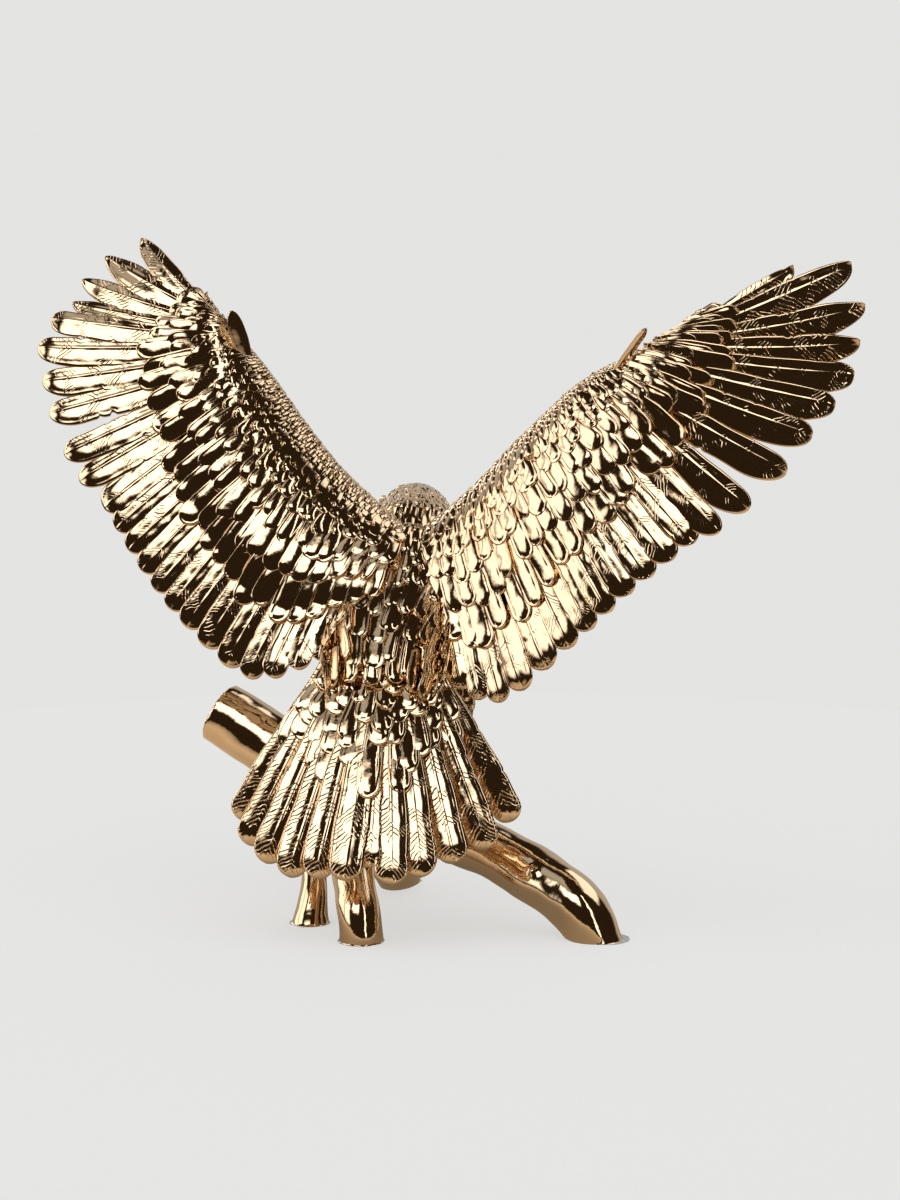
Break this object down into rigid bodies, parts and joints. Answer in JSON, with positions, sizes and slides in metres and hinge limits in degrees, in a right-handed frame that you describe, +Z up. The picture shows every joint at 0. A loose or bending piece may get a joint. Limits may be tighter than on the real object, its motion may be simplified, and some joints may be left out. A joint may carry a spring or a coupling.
{
  "type": "porcelain eagle sculpture",
  "caption": "Gold-lustred porcelain eagle with raised, spread wings and a fanned tail, standing on a forked branch that stands on its cut ends.",
  "frame": {"origin": "on the ground, under the middle of the whole piece as seen from above", "axes": "+Z up, +Y the way the eagle faces, +X towards the tip of its right wing as seen from behind"},
  "size_m": [0.6951, 0.3089, 0.5667],
  "materials": {
    "gold_lustre": "mirror-bright gold lustre fired over glazed porcelain"
  },
  "bodies": {
    "root": {"eagle_on_branch": "gold_lustre"}
  },
  "joints": []
}
